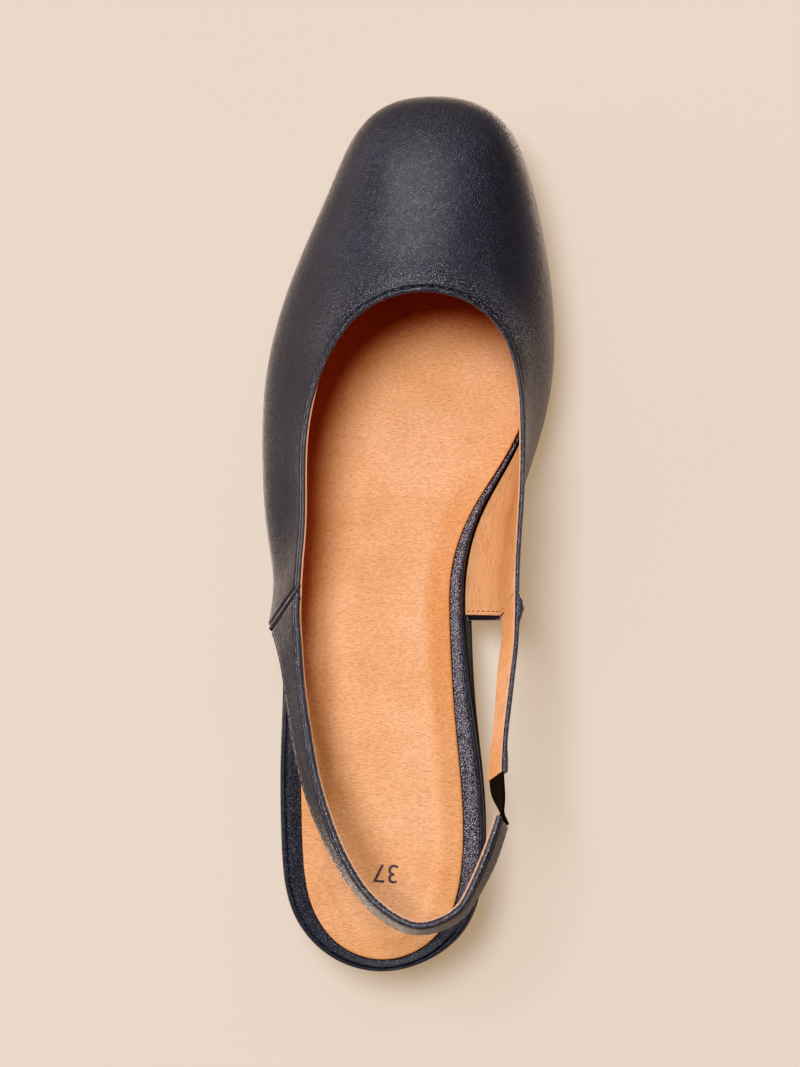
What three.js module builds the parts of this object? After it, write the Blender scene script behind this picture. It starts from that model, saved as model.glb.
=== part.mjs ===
// Sling back flat, the left shoe of a pair: a low leather flat whose upper covers the toes
// and reaches further back on the outer side, with a strap that runs round the heel, joined
// by a short elastic on the inner side. +Y points to the toe, +X to the inner side of the
// foot, +Z up. Millimetres. Every table below gives shares of the named sizes.
import * as THREE from "three";

// Driving sizes
const shoeLength = 252;
const ballWidth = 83.5;
const instepHeight = 43;
const heelRise = 14.2;
const heelSeatLength = 58;
const toeSpring = 5;
const leather = 1.8;
const strapThickness = 2;
const elasticThickness = 1;
const outsoleThickness = 3.2;
const insoleThickness = 3;
const sockThickness = 1.2;
const topPieceThickness = 4;
const gap = 0.3;

// The sole lies flat on the floor between these two places under the ball of the foot.
const flatFrom = 0.635 * shoeLength;
const flatTo = 0.778 * shoeLength;

// Edge of the insole, from the back of the inner wing round the toe and the heel.
// across, along: place; rim: width of bare leather outside the sock; welt: how far the
// outsole stands outside the insole.
const edgeTable = [
  [0.208, 0.403, 0.0455, 0.027],
  [0.202, 0.460, 0.0443, 0.027],
  [0.240, 0.524, 0.0287, 0.027],
  [0.328, 0.587, 0.0156, 0.027],
  [0.401, 0.655, 0.0096, 0.027],
  [0.412, 0.746, 0.0096, 0.027],
  [0.355, 0.848, 0.0096, 0.027],
  [0.283, 0.924, 0.0096, 0.027],
  [0.209, 0.964, 0.0096, 0.027],
  [-0.014, 0.980, 0.0096, 0.027],
  [-0.131, 0.968, 0.0096, 0.027],
  [-0.272, 0.888, 0.0096, 0.027],
  [-0.402, 0.771, 0.0096, 0.027],
  [-0.465, 0.667, 0.0096, 0.027],
  [-0.466, 0.575, 0.0096, 0.027],
  [-0.443, 0.484, 0.0150, 0.027],
  [-0.420, 0.440, 0.0270, 0.027],
  [-0.398, 0.390, 0.0383, 0.027],
  [-0.393, 0.317, 0.0551, 0.012],
  [-0.392, 0.230, 0.0695, 0.006],
  [-0.374, 0.139, 0.0707, 0.006],
  [-0.315, 0.057, 0.0671, 0.006],
  [-0.176, 0.012, 0.0503, 0.006],
  [-0.012, 0.000, 0.0407, 0.006],
  [0.132, 0.013, 0.0443, 0.006],
  [0.263, 0.051, 0.0623, 0.006],
  [0.320, 0.127, 0.0695, 0.006],
  [0.307, 0.210, 0.0695, 0.006],
  [0.257, 0.302, 0.0599, 0.012],
];

// The upper's wall above the first rows of edgeTable, one row each.
// bulge: how far the wall stands outside the edge at its fullest; rise: height of that
// place as a share of the wall; lean: the wall's tilt inward there, in degrees; across,
// along, up: the topline; pitch: the wall's slope where it meets the topline, in degrees;
// round: how far the wall keeps those slopes, 0 being straight.
const wallTable = [
  [0.151, 0.52, -20, 0.404, 0.442, 0.895, 112, 0.4],
  [0.144, 0.50, -25, 0.401, 0.482, 0.884, 110, 0.8],
  [0.125, 0.45, -18, 0.402, 0.534, 0.870, 103, 0.9],
  [0.084, 0.40, -8, 0.399, 0.589, 0.860, 97, 0.9],
  [0.059, 0.36, 0, 0.383, 0.657, 0.867, 84, 0.9],
  [0.054, 0.36, 4, 0.3253, 0.7208, 0.914, 52, 0.9],
  [0.054, 0.39, 7, 0.2161, 0.7586, 0.9728, 34.0, 0.9],
  [0.054, 0.40, 8, 0.1284, 0.7703, 0.9958, 28.5, 0.9],
  [0.054, 0.40, 8, 0.0798, 0.7731, 1.0001, 27.0, 0.9],
  [0.054, 0.40, 8, 0.0032, 0.7731, 1.0001, 27.0, 0.9],
  [0.054, 0.40, 8, -0.0384, 0.7707, 0.9960, 27.9, 0.9],
  [0.054, 0.40, 8, -0.1354, 0.7583, 0.9767, 31.7, 0.9],
  [0.054, 0.38, 6, -0.2576, 0.7196, 0.9281, 43.5, 0.9],
  [0.055, 0.36, 4, -0.3345, 0.6611, 0.888, 58, 0.9],
  [0.050, 0.36, 2, -0.363, 0.591, 0.865, 70, 0.9],
  [0.036, 0.38, 2, -0.354, 0.506, 0.860, 74, 0.8],
  [0.032, 0.41, 3, -0.356, 0.471, 0.870, 72, 0.5],
  [0.062, 0.44, 5, -0.357, 0.435, 0.884, 70, 0.3],
];

// Straps: across, along, up of the lower edge, then of the top edge.
const rearStrapTable = [
  [-0.456, 0.386, 0.592, -0.356, 0.4340, 0.890],
  [-0.430, 0.367, 0.690, -0.352, 0.402, 0.930],
  [-0.407, 0.347, 0.786, -0.340, 0.375, 0.965],
  [-0.384, 0.317, 0.849, -0.328, 0.344, 1.000],
  [-0.363, 0.286, 0.895, -0.311, 0.312, 1.047],
  [-0.335, 0.249, 0.953, -0.287, 0.276, 1.088],
  [-0.299, 0.211, 1.012, -0.254, 0.232, 1.147],
  [-0.255, 0.177, 1.058, -0.211, 0.191, 1.209],
  [-0.201, 0.145, 1.105, -0.157, 0.151, 1.267],
  [-0.141, 0.116, 1.151, -0.097, 0.119, 1.326],
  [-0.073, 0.090, 1.186, -0.041, 0.098, 1.363],
  [0.007, 0.069, 1.209, 0.041, 0.079, 1.400],
  [0.117, 0.057, 1.221, 0.137, 0.070, 1.419],
  [0.206, 0.063, 1.209, 0.207, 0.077, 1.400],
  [0.280, 0.079, 1.186, 0.265, 0.091, 1.367],
  [0.332, 0.108, 1.163, 0.301, 0.113, 1.337],
  [0.371, 0.136, 1.140, 0.331, 0.140, 1.314],
  [0.393, 0.159, 1.116, 0.358, 0.167, 1.291],
  [0.410, 0.182, 1.093, 0.383, 0.196, 1.267],
];
const innerStrapTable = [
  [0.341, 0.409, 0.653, 0.383, 0.440, 0.914],
  [0.346, 0.387, 0.758, 0.387, 0.413, 0.942],
  [0.341, 0.363, 0.826, 0.389, 0.387, 0.972],
  [0.338, 0.329, 0.872, 0.384, 0.357, 1.012],
  [0.337, 0.296, 0.919, 0.377, 0.320, 1.058],
  [0.331, 0.267, 0.953, 0.371, 0.282, 1.112],
  [0.326, 0.229, 0.988, 0.372, 0.243, 1.167],
];
const elasticTable = [
  [0.333, 0.227, 1.000, 0.375, 0.2405, 1.156],
  [0.341, 0.215, 1.037, 0.380, 0.227, 1.184],
  [0.363, 0.2025, 1.079, 0.382, 0.2125, 1.214],
  [0.394, 0.187, 1.119, 0.375, 0.197, 1.242],
];

const sized = (table, sizes) => table.map((row) => row.map((share, k) => share * sizes[k]));
const edgeRows = sized(edgeTable, [ballWidth, shoeLength, ballWidth, ballWidth]);
const wallRows = sized(wallTable, [ballWidth, 1, 1, ballWidth, shoeLength, instepHeight, 1, 1]);
const ribbonSizes = [ballWidth, shoeLength, instepHeight, ballWidth, shoeLength, instepHeight];

// Smooth curve through rows of numbers at increasing places, with even curvature.
// With a period it closes on itself. Returns (place, slope wanted) => numbers.
function curveThrough(places, rows, period = 0) {
  const count = rows.length;
  const wrap = (k) => (period ? (k + count) % count : Math.min(Math.max(k, 0), count - 1));
  const step = (k) => (period && k === count - 1 ? period + places[0] : places[k + 1]) - places[k];
  const rate = (k, c) => (rows[wrap(k + 1)][c] - rows[k][c]) / step(k);
  const slopes = rows.map((row) => row.map(() => 0));
  for (let pass = 0; pass < 60; pass++) {
    for (let k = 0; k < count; k++) {
      for (let c = 0; c < rows[0].length; c++) {
        if (!period && k === 0) slopes[k][c] = (3 * rate(0, c) - slopes[1][c]) / 2;
        else if (!period && k === count - 1) slopes[k][c] = (3 * rate(k - 1, c) - slopes[k - 1][c]) / 2;
        else {
          const back = wrap(k - 1);
          const [before, after] = [step(back), step(k)];
          slopes[k][c] = (3 * (after * rate(back, c) + before * rate(k, c))
            - after * slopes[back][c] - before * slopes[wrap(k + 1)][c]) / (2 * (before + after));
        }
      }
    }
  }
  return (place, slope = false) => {
    const at = period ? places[0] + ((((place - places[0]) % period) + period) % period) : place;
    let k = 0;
    while (k < (period ? count - 1 : count - 2) && at >= places[k + 1]) k++;
    const [h, next] = [step(k), wrap(k + 1)];
    const s = (at - places[k]) / h;
    return rows[k].map((value, c) => {
      const [end, m, n] = [rows[next][c], slopes[k][c], slopes[next][c]];
      if (slope) return (6 * s * s - 6 * s) * (value - end) / h + (3 * s * s - 4 * s + 1) * m + (3 * s * s - 2 * s) * n;
      return (2 * s ** 3 - 3 * s * s + 1) * value + (s ** 3 - 2 * s * s + s) * h * m
        + (3 * s * s - 2 * s ** 3) * end + (s ** 3 - s * s) * h * n;
    });
  };
}

const reach = (a, b) => Math.hypot(...a.map((value, k) => value - b[k]));
const edgePlaces = [0];
edgeRows.forEach((row, k) => {
  edgePlaces.push(edgePlaces[k] + reach(row.slice(0, 2), edgeRows[(k + 1) % edgeRows.length].slice(0, 2)));
});
const edgePeriod = edgePlaces.pop();
const edgeAt = curveThrough(edgePlaces, edgeRows, edgePeriod);
const wallAt = curveThrough(edgePlaces.slice(0, wallRows.length), wallRows);
const wallEnd = edgePlaces[wallRows.length - 1];

function outwardAt(place) {
  const [across, along] = edgeAt(place, true);
  return new THREE.Vector3(along, -across, 0).normalize();
}

// Height of the sole's underside: the heel seat, the waist falling to the floor, the flat
// under the ball and the toe spring.
function underside(along) {
  const fall = THREE.MathUtils.smoothstep(along, heelSeatLength, flatFrom);
  const spring = Math.max(0, (along - flatTo) / (shoeLength - flatTo));
  return heelRise * (1 - fall) + toeSpring * spring * spring;
}

// Point of the upper's outer face: feather at share 0, fullest place at the row's rise,
// topline at share 1, as two cubics that meet smoothly at the fullest place.
function wallPoint(place, share) {
  const [across, along] = edgeAt(place);
  const [bulge, rise, lean, topAcross, topAlong, topUp, pitch, round] = wallAt(place);
  const slope = wallAt(place, true);
  const outward = outwardAt(place);
  const feather = new THREE.Vector3(across, along, 0).addScaledVector(outward, gap + leather);
  const base = underside(feather.y) + outsoleThickness + gap;
  feather.setZ(base);
  const full = new THREE.Vector3(across, along, base + rise * (topUp - base)).addScaledVector(outward, bulge);
  const top = new THREE.Vector3(topAcross, topAlong, topUp);
  const inward = new THREE.Vector3(-slope[4], slope[3], 0).normalize();
  const [leanAngle, pitchAngle] = [THREE.MathUtils.degToRad(lean), THREE.MathUtils.degToRad(pitch)];
  const featherWay = outward.clone().multiplyScalar(0.55).setZ(0.83);
  const fullWay = outward.clone().multiplyScalar(-Math.sin(leanAngle)).setZ(Math.cos(leanAngle));
  const topWay = inward.multiplyScalar(Math.cos(pitchAngle)).setZ(Math.sin(pitchAngle));
  return share < rise
    ? cubic(feather, featherWay, full, fullWay, share / rise, 1)
    : cubic(full, fullWay, top, topWay, (share - rise) / (1 - rise), round);
}

function cubic(from, fromWay, to, toWay, s, round) {
  const size = from.distanceTo(to) * round;
  return new THREE.Vector3()
    .addScaledVector(from, 2 * s ** 3 - 3 * s * s + 1)
    .addScaledVector(fromWay, (s ** 3 - 2 * s * s + s) * size)
    .addScaledVector(to, 3 * s * s - 2 * s ** 3)
    .addScaledVector(toWay, (s ** 3 - s * s) * size);
}

// Surface between a ribbon's lower edge (share 0) and top edge (share 1).
function ribbon(table) {
  const rows = sized(table, ribbonSizes);
  const places = [0];
  rows.slice(1).forEach((row, k) => places.push(places[k] + reach(row, rows[k])));
  const edges = curveThrough(places, rows);
  return { end: places.at(-1), pointAt: (place, share) => {
    const row = edges(place);
    return new THREE.Vector3(...row.slice(0, 3)).lerp(new THREE.Vector3(...row.slice(3)), share);
  } };
}

function geometryOf(points, faces) {
  const kept = faces.filter(([a, b, c]) => points[a].distanceTo(points[b]) > 1e-6
    && points[b].distanceTo(points[c]) > 1e-6 && points[c].distanceTo(points[a]) > 1e-6);
  const geometry = new THREE.BufferGeometry().setFromPoints(points);
  geometry.setIndex(kept.flat());
  geometry.computeVertexNormals();
  return geometry;
}

// Leather of even thickness behind a surface: a closed shell with its four edges.
function shell(pointAt, end, lengthSteps, heightSteps, thickness) {
  const normalAt = (place, share) => {
    const [placeStep, shareStep] = [end * 1e-4, 1e-3];
    const clampPlace = (value) => Math.min(Math.max(value, 0), end);
    const clampShare = (value) => Math.min(Math.max(value, 0), 1);
    const lengthways = pointAt(clampPlace(place + placeStep), share).sub(pointAt(clampPlace(place - placeStep), share));
    const upwards = pointAt(place, clampShare(share + shareStep)).sub(pointAt(place, clampShare(share - shareStep)));
    return lengthways.cross(upwards).normalize();
  };
  const [face, back] = [[], []];
  for (let i = 0; i <= lengthSteps; i++) {
    for (let j = 0; j <= heightSteps; j++) {
      const [place, share] = [(end * i) / lengthSteps, j / heightSteps];
      const point = pointAt(place, share);
      face.push(point);
      back.push(point.clone().addScaledVector(normalAt(place, share), -thickness));
    }
  }
  const behind = face.length;
  const at = (i, j) => i * (heightSteps + 1) + j;
  const faces = [];
  const quad = (a, b, c, d) => faces.push([a, b, c], [a, c, d]);
  for (let i = 0; i < lengthSteps; i++) {
    for (let j = 0; j < heightSteps; j++) {
      quad(at(i, j), at(i + 1, j), at(i + 1, j + 1), at(i, j + 1));
      quad(behind + at(i, j), behind + at(i, j + 1), behind + at(i + 1, j + 1), behind + at(i + 1, j));
    }
    quad(at(i + 1, 0), at(i, 0), behind + at(i, 0), behind + at(i + 1, 0));
    quad(at(i, heightSteps), at(i + 1, heightSteps), behind + at(i + 1, heightSteps), behind + at(i, heightSteps));
  }
  for (let j = 0; j < heightSteps; j++) {
    quad(at(0, j), at(0, j + 1), behind + at(0, j + 1), behind + at(0, j));
    quad(at(lengthSteps, j + 1), at(lengthSteps, j), behind + at(lengthSteps, j), behind + at(lengthSteps, j + 1));
  }
  return geometryOf([...face, ...back], faces);
}

// Places round the whole edge: up the inner side from the heel to the toe, then back down
// the outer side, so that place k and place -k face each other across the shoe.
const heelPlace = edgePlaces[23] - edgePeriod;
const toePlace = (edgePlaces[8] + edgePlaces[9]) / 2;
const sideSteps = 40;
const soleSteps = 2 * sideSteps;
const closer = (s) => s - 0.6 * Math.sin(2 * Math.PI * s) / (2 * Math.PI);
const solePlaces = Array.from({ length: soleSteps }, (_, k) => (k <= sideSteps
  ? heelPlace + (toePlace - heelPlace) * closer(k / sideSteps)
  : toePlace + (heelPlace + edgePeriod - toePlace) * closer(k / sideSteps - 1)));

// Loop of points set in from the edge: inset and level are functions of the edge's row.
function soleLoop(inset, level) {
  return solePlaces.map((place) => {
    const row = edgeAt(place);
    const flat = new THREE.Vector3(row[0], row[1], 0).addScaledVector(outwardAt(place), -inset(row));
    return flat.setZ(underside(flat.y) + level(row));
  });
}

// Closed body between stacked loops. The two lids follow the sole's own curve.
function stacked(loops, lowLevel, highLevel) {
  const points = loops.flat();
  const size = loops[0].length;
  const faces = [];
  for (let ring = 0; ring + 1 < loops.length; ring++) {
    for (let k = 0; k < size; k++) {
      const [a, b] = [ring * size + k, ring * size + ((k + 1) % size)];
      faces.push([a, b, b + size], [a, b + size, a + size]);
    }
  }
  const across = 6;
  const lid = (first, level, turned) => {
    const half = size / 2;
    const rows = [];
    for (let k = 0; k <= half; k++) {
      const [inner, outer] = [first + k, first + ((size - k) % size)];
      if (inner === outer) { rows.push(Array(across + 1).fill(inner)); continue; }
      const row = [inner];
      for (let j = 1; j < across; j++) {
        const point = points[inner].clone().lerp(points[outer], j / across);
        row.push(points.push(point.setZ(underside(point.y) + level)) - 1);
      }
      rows.push([...row, outer]);
    }
    for (let k = 0; k < half; k++) {
      for (let j = 0; j < across; j++) {
        const [a, b, c, d] = [rows[k][j], rows[k + 1][j], rows[k + 1][j + 1], rows[k][j + 1]];
        faces.push(...(turned ? [[a, c, b], [a, d, c]] : [[a, b, c], [a, c, d]]));
      }
    }
  };
  lid(0, lowLevel, true);
  lid((loops.length - 1) * size, highLevel, false);
  return geometryOf(points, faces.filter(([a, b, c]) => a !== b && b !== c && c !== a));
}

// Outsole: a leather sheet with its lower edge rounded off.
function outsoleGeometry() {
  const roundOff = 0.9;
  const welt = (row) => -row[3];
  return stacked([
    soleLoop((row) => welt(row) + roundOff, () => 0),
    soleLoop(welt, () => roundOff),
    soleLoop(welt, () => outsoleThickness),
  ], 0, outsoleThickness);
}

// Insole board wrapped in leather: a raised bead runs round its edge behind the ball and
// dies out under the upper, with a shallow channel between the bead and the sock.
const insoleBase = outsoleThickness + gap;
const insoleTop = insoleBase + insoleThickness;
const frontRim = edgeRows[6][2];
const openness = (row) => THREE.MathUtils.smoothstep(row[2], frontRim, 3 * frontRim);
function insoleGeometry() {
  const beadHeight = 1.5;
  const rimStep = (share, height) => soleLoop(
    (row) => share * row[2], (row) => insoleTop + height * openness(row));
  return stacked([
    soleLoop((row) => 0.6 * frontRim, () => insoleBase),
    soleLoop(() => 0, () => insoleBase + 0.6),
    soleLoop(() => 0, (row) => insoleTop - 0.6 + beadHeight * openness(row) * 0.9),
    rimStep(0.1, beadHeight * 0.95),
    rimStep(0.22, beadHeight),
    rimStep(0.36, beadHeight * 0.6),
    rimStep(0.5, 0.35),
    rimStep(0.8, 0.1),
    soleLoop((row) => row[2] + 0.5, () => insoleTop),
  ], insoleBase, insoleTop);
}

// Sock: the thin tan leather that the foot stands on.
const sockBase = insoleTop + gap;
function sockGeometry() {
  const roundOff = 0.4;
  const inside = (row) => row[2] + 0.1;
  return stacked([
    soleLoop(inside, () => sockBase),
    soleLoop(inside, () => sockBase + sockThickness - roundOff),
    soleLoop((row) => inside(row) + roundOff, () => sockBase + sockThickness),
  ], sockBase, sockBase + sockThickness);
}

// Outline of the heel: the sole's edge behind the seat length, closed by a hollow breast.
function heelLoop(inset, height) {
  const breastHollow = 5;
  const cornerSpace = 3;
  const seat = solePlaces.map((place) => {
    const row = edgeAt(place);
    return new THREE.Vector3(row[0], row[1], height).addScaledVector(outwardAt(place), -inset);
  });
  const limit = heelSeatLength - inset;
  const pastSeat = (place) => edgeAt(place)[1] > heelSeatLength - cornerSpace;
  const innerCount = solePlaces.findIndex(pastSeat);
  const outerCount = [...solePlaces].reverse().findIndex(pastSeat);
  const cut = (near, far) => near.clone().lerp(far, (limit - near.y) / (far.y - near.y));
  const inner = cut(seat[innerCount - 1], seat[innerCount]);
  const outer = cut(seat[seat.length - outerCount], seat[seat.length - outerCount - 1]);
  const breastSteps = 10;
  const breast = Array.from({ length: breastSteps - 1 }, (_, k) => {
    const share = (k + 1) / breastSteps;
    const point = inner.clone().lerp(outer, share);
    point.y -= breastHollow * Math.sin(Math.PI * share);
    return point;
  });
  return [...seat.slice(0, innerCount), inner, ...breast, outer, ...seat.slice(seat.length - outerCount)];
}

// Closed body between stacked level loops with flat ends.
function block(loops) {
  const size = loops[0].length;
  const points = loops.flat();
  const faces = [];
  for (let ring = 0; ring + 1 < loops.length; ring++) {
    for (let k = 0; k < size; k++) {
      const [a, b] = [ring * size + k, ring * size + ((k + 1) % size)];
      faces.push([a, b, b + size], [a, b + size, a + size]);
    }
  }
  const last = (loops.length - 1) * size;
  const lid = (loop) => THREE.ShapeUtils.triangulateShape(loop.map((p) => new THREE.Vector2(p.x, p.y)), []);
  lid(loops[0]).forEach(([a, b, c]) => faces.push([a, c, b]));
  lid(loops.at(-1)).forEach(([a, b, c]) => faces.push([last + a, last + b, last + c]));
  return geometryOf(points, faces);
}

const leatherNavy = { color: 0x2b2a33, roughness: 0.5, metalness: 0 };
const leatherTan = { color: 0xe09a64, roughness: 0.6, metalness: 0 };
const leatherSole = { color: 0x231f20, roughness: 0.6, metalness: 0 };

const shoe = new THREE.Group();
shoe.name = "sling_back_flat_left";

function add(name, geometry, look) {
  const mesh = new THREE.Mesh(geometry, new THREE.MeshStandardMaterial(look));
  mesh.name = name;
  shoe.add(mesh);
}

const rearStrap = ribbon(rearStrapTable);
const innerStrap = ribbon(innerStrapTable);
const elastic = ribbon(elasticTable);

add("heel_top_piece", block([heelLoop(1.8, 0), heelLoop(1.6, topPieceThickness)]),
  { color: 0x191718, roughness: 0.8, metalness: 0 });
add("heel", block([heelLoop(1.5, topPieceThickness + gap), heelLoop(0.7, heelRise - gap)]), leatherSole);
add("outsole", outsoleGeometry(), leatherSole);
add("insole", insoleGeometry(), leatherNavy);
add("sock", sockGeometry(), leatherTan);
add("upper", shell(wallPoint, wallEnd, 56, 14, leather), leatherNavy);
add("strap_rear", shell(rearStrap.pointAt, rearStrap.end, 60, 2, strapThickness), leatherNavy);
add("strap_inner", shell(innerStrap.pointAt, innerStrap.end, 18, 2, strapThickness), leatherNavy);
add("strap_elastic", shell(elastic.pointAt, elastic.end, 8, 2, elasticThickness),
  { color: 0x1c1512, roughness: 0.9, metalness: 0 });

// The shoe's box stands centred over the origin, on the floor.
const box = new THREE.Box3().setFromObject(shoe);
const centre = box.getCenter(new THREE.Vector3());
shoe.position.set(-centre.x, -centre.y, -box.min.z);

export default shoe;
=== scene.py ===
import math

import bpy
import numpy as np
from mathutils import Matrix, Vector


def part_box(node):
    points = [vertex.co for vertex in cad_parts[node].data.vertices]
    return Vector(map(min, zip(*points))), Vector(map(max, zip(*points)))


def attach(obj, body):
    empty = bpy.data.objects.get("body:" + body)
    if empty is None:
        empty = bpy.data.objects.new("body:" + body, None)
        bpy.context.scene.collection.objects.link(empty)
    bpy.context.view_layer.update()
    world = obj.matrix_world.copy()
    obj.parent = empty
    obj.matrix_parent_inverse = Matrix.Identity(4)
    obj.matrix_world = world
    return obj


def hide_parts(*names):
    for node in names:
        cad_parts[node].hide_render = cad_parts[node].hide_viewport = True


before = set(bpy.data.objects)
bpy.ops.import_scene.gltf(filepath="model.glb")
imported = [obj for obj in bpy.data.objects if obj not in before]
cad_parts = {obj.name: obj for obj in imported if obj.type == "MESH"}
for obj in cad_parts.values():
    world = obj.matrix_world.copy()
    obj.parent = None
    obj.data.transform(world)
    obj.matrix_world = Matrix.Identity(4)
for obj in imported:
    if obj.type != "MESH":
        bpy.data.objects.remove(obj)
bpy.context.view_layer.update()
scene = bpy.context.scene
print("frame loaded:", ", ".join(sorted(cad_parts)))

shoe = {  # millimetres, the same sizes as the solids
    "length": 252.0, "ballWidth": 83.5, "instepHeight": 43.0,
    "heelRise": 14.2, "seatLength": 58.0, "toeSpring": 5.0,
    "flatFrom": 0.635 * 252.0, "flatTo": 0.778 * 252.0,
    "outsole": 3.2, "insole": 3.0, "sock": 1.2,
    "wall": 1.8, "gap": 0.3, "featherWay": (0.55, 0.83),
}

# Edge of the insole from the back of the inner wing, round the toe and the heel:
# across, along and rim width, as shares of the ball width and the length.
edgeTable = [
    (0.208, 0.403, 0.0455), (0.202, 0.46, 0.0443), (0.24, 0.524, 0.0287), (0.328, 0.587, 0.0156),
    (0.401, 0.655, 0.0096), (0.412, 0.746, 0.0096), (0.355, 0.848, 0.0096), (0.283, 0.924, 0.0096),
    (0.209, 0.964, 0.0096), (-0.014, 0.98, 0.0096), (-0.131, 0.968, 0.0096), (-0.272, 0.888, 0.0096),
    (-0.402, 0.771, 0.0096), (-0.465, 0.667, 0.0096), (-0.466, 0.575, 0.0096), (-0.443, 0.484, 0.015),
    (-0.42, 0.44, 0.027), (-0.398, 0.39, 0.0383), (-0.393, 0.317, 0.0551), (-0.392, 0.23, 0.0695),
    (-0.374, 0.139, 0.0707), (-0.315, 0.057, 0.0671), (-0.176, 0.012, 0.0503), (-0.012, 0.0, 0.0407),
    (0.132, 0.013, 0.0443), (0.263, 0.051, 0.0623), (0.32, 0.127, 0.0695), (0.307, 0.21, 0.0695),
    (0.257, 0.302, 0.0599),
]
weltTable = [0.027] * 18 + [0.012] + [0.006] * 9 + [0.012]  # how far the outsole stands out there
# The wall above the first rows of edgeTable: bulge, rise, lean, topline across, along, up,
# pitch at the topline, roundness.
wallTable = [
    (0.151, 0.52, -20, 0.404, 0.442, 0.895, 112, 0.4), (0.144, 0.5, -25, 0.401, 0.482, 0.884, 110, 0.8),
    (0.125, 0.45, -18, 0.402, 0.534, 0.87, 103, 0.9), (0.084, 0.4, -8, 0.399, 0.589, 0.86, 97, 0.9),
    (0.059, 0.36, 0, 0.383, 0.657, 0.867, 84, 0.9), (0.054, 0.36, 4, 0.3253, 0.7208, 0.914, 52, 0.9),
    (0.054, 0.39, 7, 0.2161, 0.7586, 0.9728, 34.0, 0.9), (0.054, 0.4, 8, 0.1284, 0.7703, 0.9958, 28.5, 0.9),
    (0.054, 0.4, 8, 0.0798, 0.7731, 1.0001, 27.0, 0.9), (0.054, 0.4, 8, 0.0032, 0.7731, 1.0001, 27.0, 0.9),
    (0.054, 0.4, 8, -0.0384, 0.7707, 0.996, 27.9, 0.9), (0.054, 0.4, 8, -0.1354, 0.7583, 0.9767, 31.7, 0.9),
    (0.054, 0.38, 6, -0.2576, 0.7196, 0.9281, 43.5, 0.9), (0.055, 0.36, 4, -0.3345, 0.6611, 0.888, 58, 0.9),
    (0.05, 0.36, 2, -0.363, 0.591, 0.865, 70, 0.9), (0.036, 0.38, 2, -0.354, 0.506, 0.86, 74, 0.8),
    (0.032, 0.41, 3, -0.356, 0.471, 0.87, 72, 0.5), (0.062, 0.44, 5, -0.357, 0.435, 0.884, 70, 0.3),
]
heelRow = 23  # the row of edgeTable at the back of the heel
toeRow = 8  # the toe's tip lies halfway between this row and the next


# Hermite weights at share s of a step: of its start, the start's slope, its end, the end's slope.
def hermiteWeights(s):
    return 2*s**3 - 3*s*s + 1, s**3 - 2*s*s + s, 3*s*s - 2*s**3, s**3 - s*s


# Cubic through rows of numbers whose slopes at the rows keep the curvature even.
# Inside a step the value blends its two rows and their slopes with the Hermite weights.
def curveThrough(places, rows, period=0.0):
    places = np.asarray(places, float)
    rows = np.asarray(rows, float)
    count = len(places)
    ends = np.append(places[1:], places[0] + period) if period else places[1:]
    steps = ends - places[:len(ends)]
    rates = (np.roll(rows, -1, 0)[:len(ends)] - rows[:len(ends)]) / steps[:, None]
    system = np.zeros((count, count))
    known = np.zeros_like(rows)
    for k in range(count):
        if not period and k in (0, count - 1):
            other = 1 if k == 0 else count - 2
            system[k, k], system[k, other] = 2, 1
            known[k] = 3 * rates[0 if k == 0 else count - 2]
            continue
        before, after = steps[k - 1], steps[k]
        system[k, k - 1] += after
        system[k, k] += 2 * (before + after)
        system[k, (k + 1) % count] += before
        known[k] = 3 * (after * rates[k - 1] + before * rates[k])
    slopes = np.linalg.solve(system, known)

    def at(place, slope=False):
        place = np.asarray(place, float)
        if period:
            place = (place - places[0]) % period + places[0]
        k = np.clip(np.searchsorted(places, place, side="right") - 1, 0, len(steps) - 1)
        after = (k + 1) % count
        h = steps[k][..., None]
        s = (place - places[k])[..., None] / h
        a, b, m, n = rows[k], rows[after], slopes[k], slopes[after]
        if slope:
            return (6*s*s - 6*s) * (a - b) / h + (3*s*s - 4*s + 1) * m + (3*s*s - 2*s) * n
        ofA, ofM, ofB, ofN = hermiteWeights(s)
        return ofA * a + ofM * h * m + ofB * b + ofN * h * n
    return at


def unit(vectors):
    return vectors / np.maximum(np.linalg.norm(vectors, axis=-1, keepdims=True), 1e-9)


# 0 at low, 1 at high, a smooth cubic between; low may be the larger one.
def smoothStep(value, low, high):
    share = np.clip((value - low) / (high - low), 0, 1)
    return share * share * (3 - 2 * share)


# 1 at zero distance, falling to 0 as a bell of the given width.
def bell(distance, width):
    return np.exp(-(distance / width) ** 2)


wide, long, tall = shoe["ballWidth"], shoe["length"], shoe["instepHeight"]
edgeRows = np.column_stack([edgeTable, weltTable]) * [wide, long, wide, wide]
wallRows = np.array(wallTable) * [wide, 1, 1, wide, long, tall, 1, 1]
chords = np.linalg.norm(np.roll(edgeRows[:, :2], -1, 0) - edgeRows[:, :2], axis=1)
edgePlaces = np.append(0, np.cumsum(chords))[:-1]
edgePeriod = chords.sum()
edgeAt = curveThrough(edgePlaces, edgeRows, edgePeriod)
wallAt = curveThrough(edgePlaces[:len(wallRows)], wallRows)
wallEnd = edgePlaces[len(wallRows) - 1]
heelPlace = edgePlaces[heelRow] - edgePeriod
toePlace = (edgePlaces[toeRow] + edgePlaces[toeRow + 1]) / 2


# Points of the plan at one height.
def raised(plan, height=0.0):
    return np.concatenate([plan, np.full(plan.shape[:-1] + (1,), height)], -1)


# Level unit vector to the right of a way in the plan.
def rightOf(across, along):
    return unit(np.stack([along, -across, np.zeros(along.shape)], -1))


# Level unit vector square to the edge, away from the shoe.
def outwardAt(place):
    slope = edgeAt(place, True)
    return rightOf(slope[..., 0], slope[..., 1])


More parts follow.
